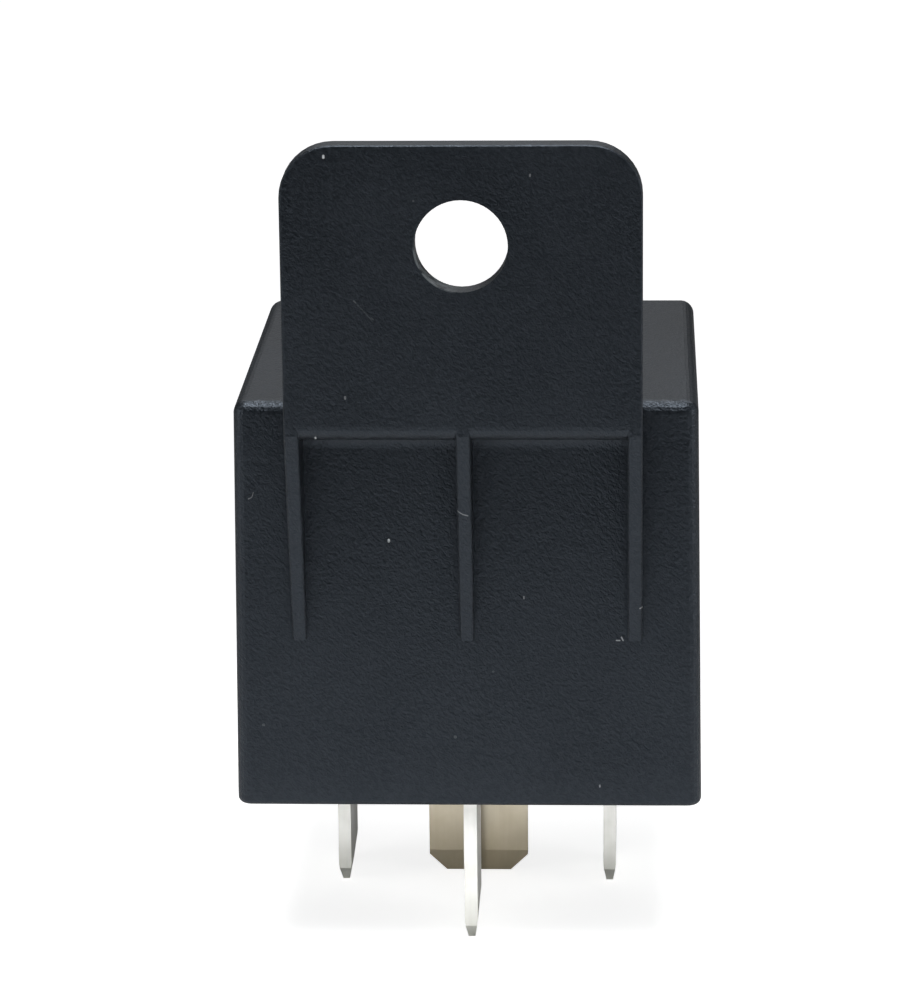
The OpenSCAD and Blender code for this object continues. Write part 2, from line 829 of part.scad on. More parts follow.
module fixed_contact() {
    upset_h = 0.25;
    upset_rim = 0.4;
    color("#d8d6d0")
        placed()
            translate([0, button_y, fixed_face_z]) {
                cylinder(h = fixed_h, d = button_d, $fn = fine);
                cylinder(h = fixed_h + blade_t + upset_h, d = rivet_d, $fn = fine);
                translate([0, 0, fixed_h + blade_t])
                    cylinder(h = upset_h, d = rivet_d + 2 * upset_rim, $fn = fine);
            }
}

// ---------- resistor and braid ----------

// Resistor between the two coil pins, with its wires welded to the backs of their tags
module suppression_resistor() {
    y = arm_in_y - resistor_gap - resistor_d / 2;
    z = base_top + seat + resistor_d / 2;
    lead_x = coil_pitch / 2 + blade_t / 2 + resistor_wire_d / 2;
    weld_y = coil_pin_y - tag_w / 4;
    cap_l = resistor_l / 5;
    cap_out = 0.15;
    color("#7fa6a8")
        placed() {
            translate([0, y, z])
                rotate([0, 90, 0]) {
                    cylinder(h = resistor_l - cap_l, d = resistor_d - 2 * cap_out,
                             center = true, $fn = fine);
                    for (s = [-1, 1])
                        translate([0, 0, s * (resistor_l - cap_l) / 2])
                            intersection() {
                                cylinder(h = cap_l, d = resistor_d, center = true, $fn = fine);
                                sphere(d = resistor_d * 1.1, $fn = fine);
                            }
                }
            for (s = [-1, 1])
                mirror([s < 0 ? 1 : 0, 0, 0])
                    translate([lead_x - lead_bend, y - lead_bend, z]) {
                        rotate_extrude(angle = 90, $fn = fine)
                            translate([lead_bend, 0])
                                circle(d = resistor_wire_d, $fn = coarse);
                        translate([0, lead_bend, 0])
                            rotate([0, -90, 0])
                                cylinder(h = lead_x - lead_bend - (resistor_l - cap_l) / 2,
                                         d = resistor_wire_d, $fn = coarse);
                        translate([lead_bend, 0, 0])
                            rotate([90, 0, 0])
                                cylinder(h = y - lead_bend - weld_y, d = resistor_wire_d, $fn = coarse);
                    }
        }
}

// Copper braid from the leaf spring round the armature to the yoke's side
module braid() {
    leaf_at = button_reach - braid_back;
    leaf_up = armature_t + leaf_t + braid_d / 2 + seat;
    start = [leaf_w / 2 - braid_in, hinge_y + leaf_at * cos(open_angle) - leaf_up * sin(open_angle),
             hinge_z + leaf_at * sin(open_angle) + leaf_up * cos(open_angle)];
    loop_x = yoke_w / 2 + braid_out;
    end = [yoke_w / 2 + braid_d / 2 + seat, leg_out_y + yoke_t / 2, hinge_z - braid_down];
    color("#b87845")
        placed()
            tube(eased([start,
                        start + braid_out * [0.7, -0.15, 0.1],
                        start + braid_out * [1.5, -0.7, 0],
                        [loop_x, start[1] - 2.2 * braid_out, hinge_z + 0.5 * braid_out],
                        [loop_x, end[1] + 1.5 * braid_out, hinge_z - 0.3 * braid_out],
                        end + [0.3 * braid_out, 0.4 * braid_out, 0.6 * braid_down],
                        end + [0, 0, 0.3 * braid_down],
                        end]), braid_d);
}

cover();
base_plate();
terminal_30();
terminal_85();
terminal_86();
terminal_87a();
yoke();
core();
bobbin();
coil_winding();
coil_lead_start();
coil_lead_finish();
armature();
contact_spring();
armature_rivets();
yoke_rivets();
moving_contact();
fixed_contact();
suppression_resistor();
braid();
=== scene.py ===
import math

import bmesh
import bpy
import numpy as np
from mathutils import Matrix, Vector


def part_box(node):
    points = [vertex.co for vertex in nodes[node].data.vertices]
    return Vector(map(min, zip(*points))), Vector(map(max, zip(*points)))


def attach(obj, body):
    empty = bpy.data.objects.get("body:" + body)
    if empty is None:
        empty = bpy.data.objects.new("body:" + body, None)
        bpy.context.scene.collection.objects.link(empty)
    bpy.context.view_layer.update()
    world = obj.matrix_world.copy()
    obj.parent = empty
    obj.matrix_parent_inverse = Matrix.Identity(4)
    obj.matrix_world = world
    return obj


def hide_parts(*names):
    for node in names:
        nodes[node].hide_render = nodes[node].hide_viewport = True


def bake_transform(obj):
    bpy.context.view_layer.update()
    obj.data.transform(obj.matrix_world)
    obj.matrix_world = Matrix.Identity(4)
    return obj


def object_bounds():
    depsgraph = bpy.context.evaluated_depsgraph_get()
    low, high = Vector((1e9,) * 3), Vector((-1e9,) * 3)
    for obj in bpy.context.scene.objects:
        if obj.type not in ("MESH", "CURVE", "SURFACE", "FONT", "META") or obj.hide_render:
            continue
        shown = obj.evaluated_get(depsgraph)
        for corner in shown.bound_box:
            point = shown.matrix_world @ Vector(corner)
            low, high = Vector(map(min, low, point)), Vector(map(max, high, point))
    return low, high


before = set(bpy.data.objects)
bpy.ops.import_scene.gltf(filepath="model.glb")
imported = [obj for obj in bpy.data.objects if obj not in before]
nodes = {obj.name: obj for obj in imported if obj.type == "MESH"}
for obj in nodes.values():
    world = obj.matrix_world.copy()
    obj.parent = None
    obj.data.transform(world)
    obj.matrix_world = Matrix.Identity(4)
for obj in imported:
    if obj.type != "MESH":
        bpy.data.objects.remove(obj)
cad_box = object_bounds()

MM = 0.001


# ---------- building node trees ----------

def add(tree, kind, inputs=None, **settings):
    """Adds a node, sets it up, and fills its inputs with plain values or with other nodes' outputs."""
    made = tree.nodes.new(kind)
    for name, value in settings.items():
        setattr(made, name, value)
    for name, value in (inputs or {}).items():
        if isinstance(value, bpy.types.NodeSocket):
            tree.links.new(value, made.inputs[name])
        else:
            made.inputs[name].default_value = value
    return made


def math_node(tree, operation, first, second=0.0, clamp=False):
    """One sum on two values, each a number or another node's output."""
    made = add(tree, "ShaderNodeMath", {0: first, 1: second}, operation=operation, use_clamp=clamp)
    return made.outputs[0]


def ramp(tree, value, low, high, smooth=True):
    """A value that runs from 0 to 1 as its input runs from low to high."""
    made = add(tree, "ShaderNodeMapRange", {"Value": value, "From Min": low, "From Max": high},
               interpolation_type="SMOOTHSTEP" if smooth else "LINEAR")
    return made.outputs["Result"]


def mix_colour(tree, factor, first, second, blend="MIX"):
    """Blends two colours, each plain or another node's output."""
    made = add(tree, "ShaderNodeMix", data_type="RGBA", blend_type=blend)
    for index, value in ((0, factor), (6, first), (7, second)):
        if isinstance(value, bpy.types.NodeSocket):
            tree.links.new(value, made.inputs[index])
        else:
            made.inputs[index].default_value = value
    return made.outputs[2]


def new_group(name, inputs, outputs):
    """An empty shader group with named inputs and outputs, each given as name, kind and default."""
    tree = bpy.data.node_groups.new(name, "ShaderNodeTree")
    kinds = {"value": "NodeSocketFloat", "colour": "NodeSocketColor", "vector": "NodeSocketVector"}
    for label, kind, default in inputs:
        socket = tree.interface.new_socket(label, in_out="INPUT", socket_type=kinds[kind])
        if default is not None:
            socket.default_value = default
    for label, kind in outputs:
        tree.interface.new_socket(label, in_out="OUTPUT", socket_type=kinds[kind])
    return tree, tree.nodes.new("NodeGroupInput"), tree.nodes.new("NodeGroupOutput")


def use_group(tree, group, **inputs):
    """Places a group in a material, with its own values for this material."""
    made = tree.nodes.new("ShaderNodeGroup")
    made.node_tree = group
    for name, value in inputs.items():
        socket = made.inputs[name.replace("_", " ")]
        if isinstance(value, bpy.types.NodeSocket):
            tree.links.new(value, socket)
        else:
            socket.default_value = value
    return made.outputs


# ---------- shared surface effects ----------

def grain_group():
    """Spark-eroded moulded grain: short slanting wrinkles on finer bumps, in a slowly wandering tone."""
    tree, given, out = new_group(
        "moulded_grain",
        [("Vector", "vector", None), ("Scale", "value", 4000.0), ("Broad Scale", "value", 120.0)],
        [("Height", "value"), ("Tone", "value"), ("Broad", "value")])
    slanted = add(tree, "ShaderNodeMapping", {"Vector": given.outputs["Vector"],
                                              "Rotation": (0.0, math.radians(48.0), 0.0),
                                              "Scale": (1.6, 1.0, 1.0)}, vector_type="TEXTURE")
    wrinkles = add(tree, "ShaderNodeTexNoise", {"Vector": slanted.outputs["Vector"],
                                                "Scale": given.outputs["Scale"], "Detail": 2.0,
                                                "Roughness": 0.55, "Distortion": 0.4})
    fine_scale = math_node(tree, "MULTIPLY", given.outputs["Scale"], 1.8)
    fine = add(tree, "ShaderNodeTexNoise", {"Vector": given.outputs["Vector"], "Scale": fine_scale,
                                            "Detail": 1.0, "Roughness": 0.5})
    broad = add(tree, "ShaderNodeTexNoise", {"Vector": given.outputs["Vector"],
                                             "Scale": given.outputs["Broad Scale"], "Detail": 3.0})
    height = math_node(tree, "ADD", math_node(tree, "MULTIPLY", wrinkles.outputs["Fac"], 0.65),
                       math_node(tree, "MULTIPLY", fine.outputs["Fac"], 0.35))
    tree.links.new(height, out.inputs["Height"])
    tree.links.new(ramp(tree, height, 0.38, 0.62), out.inputs["Tone"])
    tree.links.new(ramp(tree, broad.outputs["Fac"], 0.3, 0.7), out.inputs["Broad"])
    return tree


def dust_group():
    """Dust: sparse pale specks of uneven size, and how much of the surface shows them."""
    tree, given, out = new_group(
        "dust", [("Vector", "vector", None), ("Scale", "value", 900.0), ("Amount", "value", 0.04)],
        [("Mask", "value")])
    cells = add(tree, "ShaderNodeTexVoronoi", {"Vector": given.outputs["Vector"],
                                               "Scale": given.outputs["Scale"], "Randomness": 1.0})
    chosen = add(tree, "ShaderNodeSeparateColor", {"Color": cells.outputs["Color"]})
    kept = math_node(tree, "LESS_THAN", chosen.outputs["Red"], given.outputs["Amount"])
    size = add(tree, "ShaderNodeMapRange", {"Value": chosen.outputs["Green"], "To Min": 0.08, "To Max": 0.3})
    near = math_node(tree, "LESS_THAN", cells.outputs["Distance"], size.outputs["Result"])
    tree.links.new(math_node(tree, "MULTIPLY", kept, near), out.inputs["Mask"])
    return tree


def streak_group():
    """Rolled or brushed metal: long fine lines along one direction, and soft smudges over them."""
    tree, given, out = new_group(
        "brushed_streaks",
        [("Vector", "vector", None), ("Stretch", "vector", (1.0, 1.0, 0.04)), ("Scale", "value", 3000.0),
         ("Smudge Scale", "value", 350.0)],
        [("Lines", "value"), ("Smudge", "value")])
    drawn_out = add(tree, "ShaderNodeVectorMath", {0: given.outputs["Vector"], 1: given.outputs["Stretch"]},
                    operation="MULTIPLY")
    lines = add(tree, "ShaderNodeTexNoise", {"Vector": drawn_out.outputs[0], "Scale": given.outputs["Scale"],
                                             "Detail": 4.0, "Roughness": 0.7})
    smudge = add(tree, "ShaderNodeTexNoise", {"Vector": given.outputs["Vector"],
                                              "Scale": given.outputs["Smudge Scale"], "Detail": 3.0})
    tree.links.new(ramp(tree, lines.outputs["Fac"], 0.3, 0.7, smooth=False), out.inputs["Lines"])
    tree.links.new(ramp(tree, smudge.outputs["Fac"], 0.35, 0.68), out.inputs["Smudge"])
    return tree


def mark_group():
    """One speck, fibre or scratch: 1 near the straight line between two points, soft at its rim."""
    tree, given, out = new_group(
        "surface_mark",
        [("Vector", "vector", None), ("From", "vector", (0.0, 0.0, 0.0)), ("To", "vector", (0.0, 0.0, 0.001)),
         ("Radius", "value", 0.0001)],
        [("Mask", "value")])
    along = add(tree, "ShaderNodeVectorMath", {0: given.outputs["To"], 1: given.outputs["From"]},
                operation="SUBTRACT").outputs[0]
    offset = add(tree, "ShaderNodeVectorMath", {0: given.outputs["Vector"], 1: given.outputs["From"]},
                 operation="SUBTRACT").outputs[0]
    done = add(tree, "ShaderNodeVectorMath", {0: offset, 1: along}, operation="DOT_PRODUCT").outputs["Value"]
    whole = add(tree, "ShaderNodeVectorMath", {0: along, 1: along}, operation="DOT_PRODUCT").outputs["Value"]
    share = math_node(tree, "DIVIDE", done, whole, clamp=True)
    nearest = add(tree, "ShaderNodeVectorMath", {0: along, "Scale": share}, operation="SCALE").outputs[0]
    gap = add(tree, "ShaderNodeVectorMath", {0: offset, 1: nearest}, operation="DISTANCE").outputs["Value"]
    soft = math_node(tree, "MULTIPLY", given.outputs["Radius"], 0.45)
    tree.links.new(ramp(tree, gap, given.outputs["Radius"], soft), out.inputs["Mask"])
    return tree


GRAIN = grain_group()
DUST = dust_group()
STREAKS = streak_group()
MARK = mark_group()


def new_material(name, roughness, metallic=0.0, colour=(0.5, 0.5, 0.5, 1.0)):
    """A material with its shader, and the object's own coordinates to draw patterns on."""
    made = bpy.data.materials.new(name)
    made.use_nodes = True
    tree = made.node_tree
    shader = tree.nodes["Principled BSDF"]
    shader.inputs["Base Color"].default_value = colour
    shader.inputs["Roughness"].default_value = roughness
    shader.inputs["Metallic"].default_value = metallic
    place = tree.nodes.new("ShaderNodeTexCoord").outputs["Object"]
    return made, tree, shader, place


def bump(tree, shader, height, strength, distance):
    """Feeds a height into the shader as a bump of a real depth."""
    made = add(tree, "ShaderNodeBump", {"Strength": strength, "Distance": distance, "Height": height})
    tree.links.new(made.outputs["Normal"], shader.inputs["Normal"])


# ---------- materials ----------

# How the cover's own surfaces lie, from its box: how far the tab stands off the front and rises above the
# top, and how far the fixing hole's middle lies below the tab's top
TAB_STAND_OFF = 3.2 * MM
TAB_RISE = 16 * MM
HOLE_DROP = 5.9 * MM
HOLE_RADIUS = 2.7 * MM
cover_low, cover_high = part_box("cover")
tab_face = cover_low.y
front_face = tab_face + TAB_STAND_OFF
roof = cover_high.z - TAB_RISE
hole_centre = (0.0, 0.0, cover_high.z - HOLE_DROP)

# Specks, fibres and scratches on the tab's side, by the surface that they lie on: from x and z, to x and z,
# and radius, all in mm, and brightness
MARKS = {
    "tab": [((-7.8, 50.0), (-7.8, 49.9), 0.09, 0.90), ((4.0, 48.9), (4.0, 48.8), 0.06, 0.22),
            ((-6.8, 35.8), (-6.8, 35.7), 0.08, 0.20), ((-8.6, 33.3), (-8.6, 33.2), 0.07, 0.70),
            ((-6.2, 41.5), (-6.1, 41.4), 0.06, 0.10), ((-6.2, 41.5), (-5.2, 40.4), 0.05, 0.035),
            ((-5.2, 40.5), (-5.1, 40.4), 0.05, 0.06)],
    "front": [((-4.6, 26.2), (-4.6, 26.1), 0.09, 0.80), ((3.4, 22.7), (3.4, 22.6), 0.06, 0.30),
              ((7.9, 10.9), (7.9, 10.8), 0.06, 0.35), ((-12.9, 28.7), (-12.7, 28.8), 0.04, 0.20),
              ((-12.7, 28.8), (-12.6, 29.1), 0.04, 0.16), ((8.9, 20.0), (9.1, 20.0), 0.05, 0.40),
              ((9.2, 20.2), (9.3, 20.0), 0.05, 0.45)],
    "rib": [((-0.4, 28.6), (-0.1, 28.4), 0.04, 0.26), ((-0.1, 28.4), (0.2, 28.3), 0.045, 0.32),
            ((10.3, 22.2), (10.5, 22.3), 0.05, 0.40)],
}


def marked(tree, place):
    """The strongest of all the marks at each point, each one on its own surface only."""
    upright = add(tree, "ShaderNodeVectorMath", {0: place, 1: (1.0, 0.0, 1.0)},
                  operation="MULTIPLY").outputs[0]
    depth = add(tree, "ShaderNodeSeparateXYZ", {"Vector": place}).outputs["Y"]
    in_front = ramp(tree, depth, front_face + 0.9 * MM, front_face + 0.7 * MM)
    proud = ramp(tree, depth, front_face - 0.1 * MM, front_face - 0.2 * MM)
    surfaces = {
        "tab": ramp(tree, depth, tab_face + 0.9 * MM, tab_face + 0.7 * MM),
        "front": math_node(tree, "SUBTRACT", in_front, proud, clamp=True),
        "rib": proud,
    }
    strongest = 0.0
    for surface, marks in MARKS.items():
        for (from_x, from_z), (to_x, to_z), radius, brightness in marks:
            found = use_group(tree, MARK, Vector=upright, Radius=radius * MM,
                              From=(from_x * MM, 0.0, from_z * MM), To=(to_x * MM, 0.0, to_z * MM))
            shown = math_node(tree, "MULTIPLY", found["Mask"], brightness)
            shown = math_node(tree, "MULTIPLY", shown, surfaces[surface])
            strongest = math_node(tree, "MAXIMUM", shown, strongest)
    return strongest


def plastic_body(name, dark, pale, roughness, grain_depth, sheen=(1.0, 1.0, 1.0, 1.0)):
    """Moulded plastic with a fine grain, slightly uneven in tone and polish; gives its colour to finish."""
    made, tree, shader, place = new_material(name, roughness)
    shader.inputs["Specular Tint"].default_value = sheen
    grain = use_group(tree, GRAIN, Vector=place, Scale=5200.0, Broad_Scale=130.0)
    tone = math_node(tree, "ADD", math_node(tree, "MULTIPLY", grain["Tone"], 0.65),
                     math_node(tree, "MULTIPLY", grain["Broad"], 0.35))
    rough = add(tree, "ShaderNodeMapRange", {"Value": tone, "To Min": roughness - 0.06,
                                             "To Max": roughness + 0.08})
    tree.links.new(rough.outputs["Result"], shader.inputs["Roughness"])
    bump(tree, shader, grain["Height"], 1.0, grain_depth)
    return made, tree, shader, place, mix_colour(tree, tone, dark, pale)


def moulded_plastic(name, dark, pale, roughness, grain_depth, sheen=(1.0, 1.0, 1.0, 1.0)):
    """Moulded plastic with nothing on it."""
    made, tree, shader, _, body = plastic_body(name, dark, pale, roughness, grain_depth, sheen)
    tree.links.new(body, shader.inputs["Base Color"])
    return made


def painted_bore_highlight(tree, place, highlight_patches):
    """A painted highlight on the fixing hole's wall, low on the left, in patches."""
    from_axis = add(tree, "ShaderNodeVectorMath", {0: place, 1: hole_centre}, operation="SUBTRACT").outputs[0]
    across = add(tree, "ShaderNodeVectorMath", {0: from_axis, 1: (1.0, 0.0, 1.0)},
                 operation="MULTIPLY").outputs[0]
    away = add(tree, "ShaderNodeVectorMath", {0: across}, operation="LENGTH").outputs["Value"]
    lean = add(tree, "ShaderNodeVectorMath", {0: across, 1: (-0.80, 0.0, -0.60)},
               operation="DOT_PRODUCT").outputs["Value"]
    on_wall = ramp(tree, away, HOLE_RADIUS + 0.10 * MM, HOLE_RADIUS + 0.04 * MM)
    low_left = ramp(tree, lean, 0.55 * HOLE_RADIUS, HOLE_RADIUS)
    patches = ramp(tree, highlight_patches.outputs["Fac"], 0.35, 0.60)
    return math_node(tree, "MULTIPLY", on_wall, math_node(tree, "MULTIPLY", low_left, patches))


def cover_material():
    """Black filled plastic: grain, a painted highlight along the top front edge and in the hole, dust, and the
    specks and scratches of handling.
    """
    made, tree, shader, place, body = plastic_body("cover_plastic", (0.0020, 0.0028, 0.0040, 1.0),
                                                   (0.0145, 0.0172, 0.0210, 1.0), 0.40, 0.08 * MM, COOL_SHEEN)
    at = add(tree, "ShaderNodeSeparateXYZ", {"Vector": place})
    # Noise patches that break up the painted highlights on the top front edge and in the hole
    highlight_patches = add(tree, "ShaderNodeTexNoise", {"Vector": place, "Scale": 2100.0, "Detail": 2.0})
    near_top = ramp(tree, at.outputs["Z"], roof - 0.30 * MM, roof - 0.06 * MM)
    below_top = ramp(tree, at.outputs["Z"], roof + 0.02 * MM, roof - 0.02 * MM)
    near_front = ramp(tree, at.outputs["Y"], front_face + 1.15 * MM, front_face + 0.60 * MM)
    off_shelf = ramp(tree, at.outputs["Y"], front_face - 0.2 * MM, front_face + 0.1 * MM)
    edge = math_node(tree, "MULTIPLY", math_node(tree, "MULTIPLY", near_top, near_front),
                     math_node(tree, "MULTIPLY", below_top, off_shelf))
    # Painted highlight: a lighter colour in patches along the top front edge, where the top rounds over to the
    # front
    painted_edge_highlight = math_node(tree, "MULTIPLY", edge, ramp(tree, highlight_patches.outputs["Fac"], 0.44, 0.60))
    body = mix_colour(tree, math_node(tree, "MULTIPLY", painted_edge_highlight, 0.32), body, (0.16, 0.18, 0.21, 1.0))
    # Painted highlight: a lighter colour in patches on the fixing hole's lower-left wall
    body = mix_colour(tree, math_node(tree, "MULTIPLY", painted_bore_highlight(tree, place, highlight_patches), 0.75), body,
                      (0.20, 0.22, 0.23, 1.0))
    dust = use_group(tree, DUST, Vector=place, Scale=2600.0, Amount=0.002)
    body = mix_colour(tree, math_node(tree, "MULTIPLY", dust["Mask"], 0.16), body, (0.30, 0.31, 0.32, 1.0))
    body = mix_colour(tree, marked(tree, place), body, (0.72, 0.74, 0.76, 1.0))
    tree.links.new(body, shader.inputs["Base Color"])
    return made


def plated_metal(name, pale, dark, roughness, stretch, metallic=1.0, painted_shade=None):
    """Rolled metal, plain or plated: lines along it, smudges, duller patches, and painted shade that may
    darken it towards the bottom.
    """
    made, tree, shader, place = new_material(name, roughness, metallic)
    streaks = use_group(tree, STREAKS, Vector=place, Stretch=stretch, Scale=2600.0, Smudge_Scale=420.0)
    tone = math_node(tree, "ADD", math_node(tree, "MULTIPLY", streaks["Lines"], 0.35),
                     math_node(tree, "MULTIPLY", streaks["Smudge"], 0.65))
    body = mix_colour(tree, tone, pale, dark)
    # Painted shade: below the upper height in mm the colour darkens, down to the shade colour at the lower
    # height
    if painted_shade:
        low, high, shade_colour = painted_shade
        height = add(tree, "ShaderNodeSeparateXYZ", {"Vector": place}).outputs["Z"]
        body = mix_colour(tree, ramp(tree, height, high * MM, low * MM), body, shade_colour, blend="MULTIPLY")
    tree.links.new(body, shader.inputs["Base Color"])
    rough = add(tree, "ShaderNodeMapRange", {"Value": streaks["Smudge"], "To Min": roughness - 0.06,
                                             "To Max": roughness + 0.12})
    tree.links.new(rough.outputs["Result"], shader.inputs["Roughness"])
    bump(tree, shader, streaks["Lines"], 0.35, 0.004 * MM)
    return made


def lacquered_resistor():
    """A glossy lacquered body between two tinned wires, told apart by their places along the body."""
    body_half_length = 3.75 * MM
    edge = 0.02 * MM
    made, tree, shader, place, body = plastic_body("resistor_coat", (0.09, 0.22, 0.24, 1.0),
                                                   (0.12, 0.27, 0.29, 1.0), 0.25, 0.003 * MM)
    at = add(tree, "ShaderNodeSeparateXYZ", {"Vector": place})
    sideways = math_node(tree, "ABSOLUTE", at.outputs["X"])
    wire = ramp(tree, sideways, body_half_length - edge, body_half_length + edge)
    body = mix_colour(tree, wire, body, (0.74, 0.74, 0.72, 1.0))
    tree.links.new(body, shader.inputs["Base Color"])
    tree.links.new(wire, shader.inputs["Metallic"])
    return made


COOL_SHEEN = (0.72, 0.84, 1.0, 1.0)
ALONG_Z = (1.0, 1.0, 0.05)
ALONG_Y = (1.0, 0.05, 1.0)
ALL_WAYS = (1.0, 1.0, 1.0)

cover_plastic = cover_material()
base_plastic = moulded_plastic("base_plastic", (0.009, 0.0105, 0.0125, 1.0), (0.014, 0.016, 0.0185, 1.0), 0.5,
                               0.012 * MM, COOL_SHEEN)
# Each blade's last entry is painted shade: the heights in mm between which it darkens towards its foot, and
# the darkest colour
blade_tin = plated_metal("tinned_blade", (0.94, 0.94, 0.91, 1.0), (0.80, 0.80, 0.76, 1.0), 0.42, ALONG_Z, 0.5,
                         (0.5, 5.0, (0.90, 0.90, 0.87, 1.0)))
blade_bronze = plated_metal("bronze_blade", (0.96, 0.90, 0.76, 1.0), (0.82, 0.75, 0.60, 1.0), 0.40, ALONG_Z,
                            0.55, (1.5, 9.0, (0.52, 0.49, 0.43, 1.0)))
iron = plated_metal("magnet_iron", (0.62, 0.63, 0.65, 1.0), (0.46, 0.47, 0.49, 1.0), 0.42, (0.05, 1.0, 1.0))
core_nickel = plated_metal("core_iron", (0.72, 0.72, 0.70, 1.0), (0.56, 0.56, 0.55, 1.0), 0.30, ALONG_Z)
rivet_steel = plated_metal("rivet_steel", (0.74, 0.75, 0.76, 1.0), (0.58, 0.58, 0.59, 1.0), 0.28, ALL_WAYS)
silver = plated_metal("contact_silver", (0.90, 0.89, 0.86, 1.0), (0.72, 0.71, 0.68, 1.0), 0.30, ALL_WAYS)
spring_bronze = plated_metal("spring_bronze", (0.80, 0.53, 0.30, 1.0), (0.62, 0.38, 0.19, 1.0), 0.32, ALONG_Y)
enamel = plated_metal("enamelled_wire", (0.55, 0.19, 0.07, 1.0), (0.40, 0.12, 0.04, 1.0), 0.24, ALL_WAYS)
braid_copper = plated_metal("copper_braid", (0.74, 0.42, 0.24, 1.0), (0.46, 0.23, 0.12, 1.0), 0.38, ALL_WAYS)
nylon = moulded_plastic("bobbin_nylon", (0.60, 0.54, 0.42, 1.0), (0.68, 0.62, 0.50, 1.0), 0.45, 0.004 * MM)
lacquer = lacquered_resistor()


def dress(node_name, material):
    """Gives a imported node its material."""
    slots = nodes[node_name].data.materials
    slots.clear()
    slots.append(material)


FINISHES = {
    "cover": cover_plastic, "base_plate": base_plastic,
    "terminal_30": blade_tin, "terminal_85": blade_tin, "terminal_86": blade_tin, "terminal_87a": blade_bronze,
    "yoke": iron, "core": core_nickel, "armature": iron, "bobbin": nylon,
    "coil_winding": enamel, "coil_lead_start": enamel, "coil_lead_finish": enamel,
    "contact_spring": spring_bronze, "armature_rivets": rivet_steel, "yoke_rivets": rivet_steel,
    "moving_contact": silver, "fixed_contact": silver,
    "suppression_resistor": lacquer, "braid": braid_copper,
}
for node_name, finish in FINISHES.items():
    dress(node_name, finish)


# ---------- pieces that bend or need more detail than their solids ----------

def grid_piece(name, points, material, wrapped=(False, False)):
    """A piece from an array of points on two parameters, with a quad between each four neighbours.

    Where a direction is wrapped, its last row joins its first again, so the surface closes on itself.
    """
    rows, columns = points.shape[:2]
    index = np.arange(rows * columns).reshape(rows, columns)
    if wrapped[0]:
        index = np.concatenate([index, index[:1]], 0)
    if wrapped[1]:
        index = np.concatenate([index, index[:, :1]], 1)
    faces = np.stack([index[:-1, :-1], index[:-1, 1:], index[1:, 1:], index[1:, :-1]], -1).reshape(-1, 4)
    mesh = bpy.data.meshes.new(name)
    mesh.from_pydata(points.reshape(-1, 3), [], faces)
    mesh.polygons.foreach_set("use_smooth", np.ones(len(faces), bool))
    mesh.materials.append(material)
    mesh.update()
    made = bpy.data.objects.new(name, mesh)
    bpy.context.scene.collection.objects.link(made)
    return made


def wound_wire():
    """Turns of wire on the bobbin: a closed profile revolved about the core's axis.

    Going up the outside, the radius is the winding's, less a small groove between turns that follows the
    absolute value of a sine. The profile then runs across the top, down the barrel and back
    across the bottom.
    """
    low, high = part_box("coil_winding")
    axis_x, axis_y = (low.x + high.x) / 2, (low.y + high.y) / 2
    outer = (high.x - low.x) / 2
    barrel_radius = 3.75 * MM
    turns, steps_per_turn, groove = 36, 6, 0.07 * MM
    columns = 96
    climb = np.linspace(0.0, 1.0, turns * steps_per_turn + 1)
    outside = np.stack([outer - groove * (1 - np.abs(np.sin(np.pi * turns * climb))),
                        low.z + (high.z - low.z) * climb], -1)
    inside = np.array([[barrel_radius, high.z], [barrel_radius, low.z]])
    profile = np.concatenate([outside, inside])
    angle = np.linspace(0.0, 2 * np.pi, columns, endpoint=False)[:, None]
    points = np.stack([axis_x + profile[:, 0] * np.cos(angle), axis_y + profile[:, 0] * np.sin(angle),
                       np.broadcast_to(profile[:, 1], (columns, len(profile)))], -1)
    winding = grid_piece("wound_wire", points, enamel, (True, True))
    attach(winding, "housing")
    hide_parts("coil_winding")


def bending_copy(name, node_name):
    """A joined-up copy of a solid, sharp at its creases, that stands in for the solid."""
    piece = bpy.data.objects.new(name, nodes[node_name].data.copy())
    bpy.context.scene.collection.objects.link(piece)
    shape = bmesh.new()
    shape.from_mesh(piece.data)
    bmesh.ops.remove_doubles(shape, verts=shape.verts, dist=0.001 * MM)
    shape.to_mesh(piece.data)
    shape.free()
    piece.data.set_sharp_from_angle(angle=math.radians(35.0))
    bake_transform(piece)
    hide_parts(node_name)


def bending_pieces():
    """Joined-up copies of the leaf spring and the braid, in place of their solids."""
    bending_copy("leaf_spring", "contact_spring")
    bending_copy("woven_braid", "braid")


# ---------- floor, light and camera ----------

def floor_material():
    """Pale floor that the camera sees as white, apart from the shadow that the relay casts on it."""
    made, tree, shader, place = new_material("pale_floor", 0.9, colour=(0.8, 0.8, 0.8, 1.0))
    shader.inputs["Specular IOR Level"].default_value = 0.0
    speck = add(tree, "ShaderNodeTexNoise", {"Vector": place, "Scale": 60.0, "Detail": 2.0})
    pale = mix_colour(tree, speck.outputs["Fac"], (0.79, 0.79, 0.79, 1.0), (0.81, 0.81, 0.81, 1.0))
    tree.links.new(pale, shader.inputs["Base Color"])
    seen = add(tree, "ShaderNodeLightPath").outputs["Is Camera Ray"]
    tree.links.new(math_node(tree, "MULTIPLY", seen, 0.80), shader.inputs["Emission Strength"])
    shader.inputs["Emission Color"].default_value = (1.0, 1.0, 1.0, 1.0)
    return made


def make_floor():
    """A flat square at the height that the blades stand on, far wider than the view."""
    half_side = 3.0
    side = np.linspace(-half_side, half_side, 2)
    x, y = np.meshgrid(side, side)
    floor = grid_piece("floor", np.stack([x, y, np.zeros_like(x)], -1), floor_material())


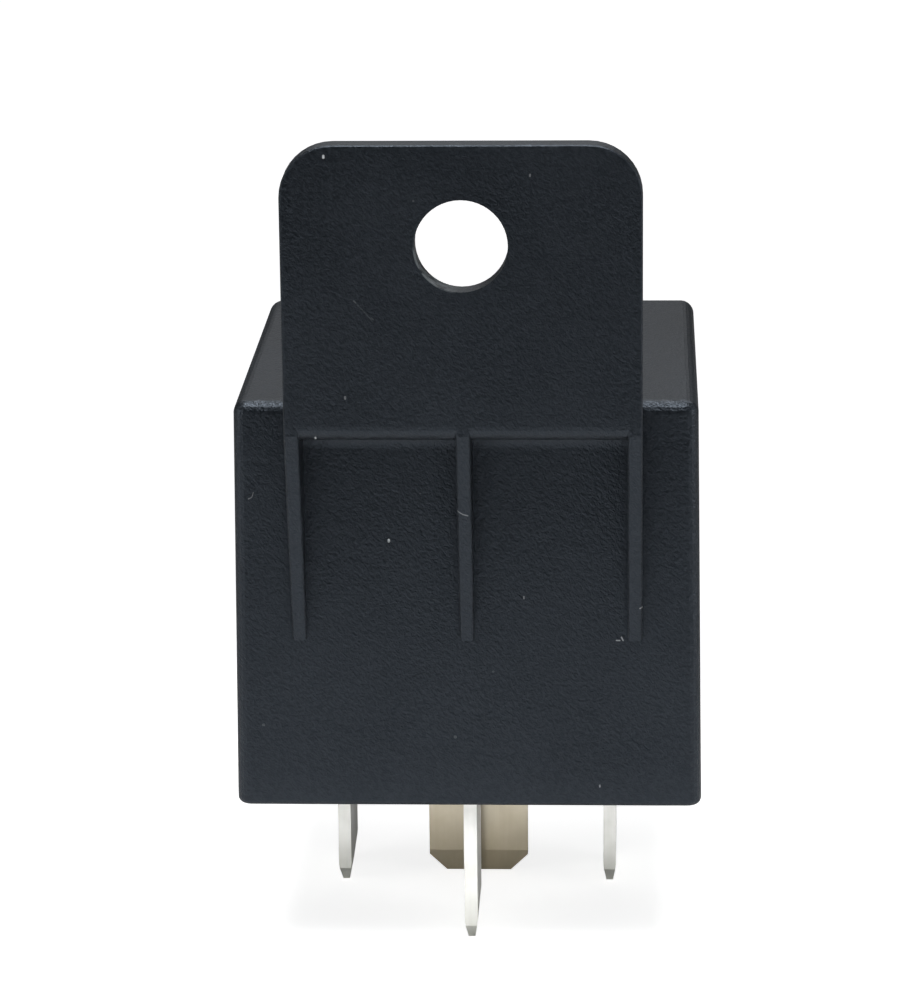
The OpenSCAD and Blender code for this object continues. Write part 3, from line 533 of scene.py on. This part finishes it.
# The lamps: a low one over the floor in front lights the floor that the front mirrors, one behind gives the
# top its sheen, one at each side lights the flanks, and a flat one just above the floor lights the blades
middle = (cad_box[0] + cad_box[1]) / 2
LAMPS = {
    "key": dict(place=(0.0, -0.058, 0.155), aim=(0.0, -0.05, 0.0), size=0.12, power=0.066, spread=60.0),
    "back": dict(place=(0.0, 0.34, 0.36), aim=middle, size=0.4, power=0.50),
    "left": dict(place=(-0.42, -0.16, 0.07), aim=middle, size=0.25, power=0.7),
    "right": dict(place=(0.42, -0.10, 0.07), aim=middle, size=0.25, power=0.7),
    "pins": dict(place=(0.0, -0.15, 0.007), aim=(0.0, 0.0, 0.004), size=0.14, power=0.0011, spread=5.0,
                 height=0.006),
}


def area_lamp(name, place, aim, size, power, spread=180.0, height=None):
    """A soft lamp that the camera doesn't see, turned towards a point, with its spread in degrees."""
    data = bpy.data.lights.new(name, "AREA")
    data.shape = "RECTANGLE"
    data.size = size
    data.size_y = height or size
    data.energy = power
    data.spread = math.radians(spread)
    lamp = bpy.data.objects.new(name, data)
    lamp.visible_camera = False
    lamp.location = place
    lamp.rotation_euler = (Vector(aim) - Vector(place)).to_track_quat("-Z", "Y").to_euler()
    bpy.context.scene.collection.objects.link(lamp)


def make_world():
    """A pale surround: white to the camera, and dimmer as a light so that the lamps give the shape."""
    world = bpy.data.worlds.new("studio")
    world.use_nodes = True
    tree = world.node_tree
    shader = tree.nodes["Background"]
    shader.inputs["Color"].default_value = (0.94, 0.97, 1.0, 1.0)
    seen = add(tree, "ShaderNodeLightPath").outputs["Is Camera Ray"]
    tree.links.new(math_node(tree, "ADD", math_node(tree, "MULTIPLY", seen, 0.98), 0.06),
                   shader.inputs["Strength"])
    bpy.context.scene.world = world


# Where the camera stands, how it is turned, in degrees, and its lens
CAMERA_PLACE = Vector((10.212, -253.053, 96.084)) * MM
CAMERA_AZIMUTH = 2.608
CAMERA_ELEVATION = 15.625
CAMERA_ROLL = -0.635
FOCAL_LENGTH = 152.347
SENSOR_WIDTH = 36.0


def make_camera():
    """The camera looks down on the tab's side from a little to its right."""
    azimuth = math.radians(CAMERA_AZIMUTH)
    elevation = math.radians(CAMERA_ELEVATION)
    roll = math.radians(CAMERA_ROLL)
    forward = Vector((-math.sin(azimuth) * math.cos(elevation), math.cos(azimuth) * math.cos(elevation),
                      -math.sin(elevation)))
    right = Vector((math.cos(azimuth), math.sin(azimuth), 0.0))
    up = right.cross(forward)
    turned_right = math.cos(roll) * right + math.sin(roll) * up
    turned_up = -math.sin(roll) * right + math.cos(roll) * up
    data = bpy.data.cameras.new("camera")
    data.sensor_width = SENSOR_WIDTH
    data.lens = FOCAL_LENGTH
    camera = bpy.data.objects.new("camera", data)
    place = Matrix((turned_right, turned_up, -forward)).transposed().to_4x4()
    place.translation = CAMERA_PLACE
    camera.matrix_world = place
    bpy.context.scene.collection.objects.link(camera)
    bpy.context.scene.camera = camera


wound_wire()
bending_pieces()
make_floor()
make_world()
make_camera()
for lamp_name, settings in LAMPS.items():
    area_lamp(lamp_name, **settings)
bpy.context.scene.view_settings.view_transform = "Standard"
